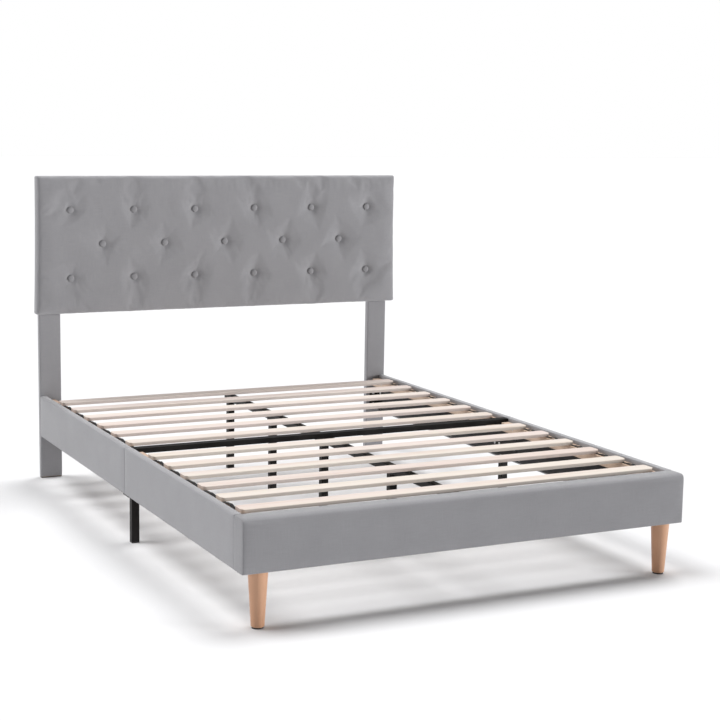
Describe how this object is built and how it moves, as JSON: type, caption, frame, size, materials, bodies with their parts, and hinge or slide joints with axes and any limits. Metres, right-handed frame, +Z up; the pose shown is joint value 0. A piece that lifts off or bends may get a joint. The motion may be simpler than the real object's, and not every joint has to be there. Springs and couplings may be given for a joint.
{
  "type": "upholstered platform bed",
  "caption": "Platform bed with a button-tufted upholstered headboard on posts, padded rails and footboard, tapered wooden legs and lift-off slat sets.",
  "frame": {"origin": "on the floor at the centre of the bed's footprint", "axes": "+Z up, +Y towards the head end, +X to the right seen from the foot"},
  "size_m": [1.44, 1.985, 1.112],
  "materials": {
    "upholstery_fabric": "fine woven polyester with a soft sheen",
    "padding": "soft foam and wadding",
    "black_cloth": "non-woven cloth",
    "ribbon": "woven ribbon",
    "engineered_board": "raw board",
    "pine": "planed, unfinished",
    "slat_wood": "planed and sanded, unfinished",
    "beech": "turned, satin lacquer",
    "black_steel": "matt powder coat",
    "zinc_steel": "bright zinc",
    "black_plastic": "moulded"
  },
  "bodies": {
    "bed_frame": {"headboard_board": "engineered_board", "headboard_foam": "padding", "headboard_cover": "upholstery_fabric", "headboard_back_cloth": "black_cloth", "headboard_buttons": "upholstery_fabric", "headboard_bolts": "zinc_steel", "tee_nuts": "zinc_steel", "post_board_left": "engineered_board", "post_board_right": "engineered_board", "post_cover_left": "upholstery_fabric", "post_cover_right": "upholstery_fabric", "post_glides": "black_plastic", "rail_board_left_head": "engineered_board", "rail_board_left_foot": "engineered_board", "rail_board_right_head": "engineered_board", "rail_board_right_foot": "engineered_board", "rail_cover_left_head": "upholstery_fabric", "rail_cover_left_foot": "upholstery_fabric", "rail_cover_right_head": "upholstery_fabric", "rail_cover_right_foot": "upholstery_fabric", "frame_linings": "black_cloth", "slat_ledges": "pine", "ledge_screws": "zinc_steel", "footboard_front_panel": "engineered_board", "footboard_back_panel": "engineered_board", "footboard_strips": "pine", "footboard_leg_blocks": "pine", "footboard_wadding": "padding", "footboard_cover": "upholstery_fabric", "wooden_leg_left": "beech", "wooden_leg_right": "beech", "leg_hanger_bolts": "zinc_steel", "wooden_leg_glides": "black_plastic", "corner_brackets": "black_steel", "joint_plates": "black_steel", "frame_bolts": "zinc_steel", "transverse_bar": "black_steel", "mid_leg_left": "black_steel", "mid_leg_right": "black_steel", "center_beam_head": "black_steel", "center_beam_foot": "black_steel", "beam_connector": "black_steel", "beam_bracket": "black_steel", "center_legs": "black_steel", "steel_leg_feet": "black_plastic", "leg_screws": "zinc_steel"},
    "slat_set_head": {"slat_01": "slat_wood", "slat_02": "slat_wood", "slat_03": "slat_wood", "slat_04": "slat_wood", "slat_05": "slat_wood", "slat_06": "slat_wood", "ribbons_head": "ribbon"},
    "slat_set_foot": {"slat_07": "slat_wood", "slat_08": "slat_wood", "slat_09": "slat_wood", "slat_10": "slat_wood", "slat_11": "slat_wood", "slat_12": "slat_wood", "ribbons_foot": "ribbon"}
  },
  "joints": [
    {"name": "slat_set_head_lift", "type": "slide", "parent": "bed_frame", "child": "slat_set_head", "axis": [0, 0, 1], "range_m": [0, 0.2]},
    {"name": "slat_set_foot_lift", "type": "slide", "parent": "bed_frame", "child": "slat_set_foot", "axis": [0, 0, 1], "range_m": [0, 0.2]}
  ]
}
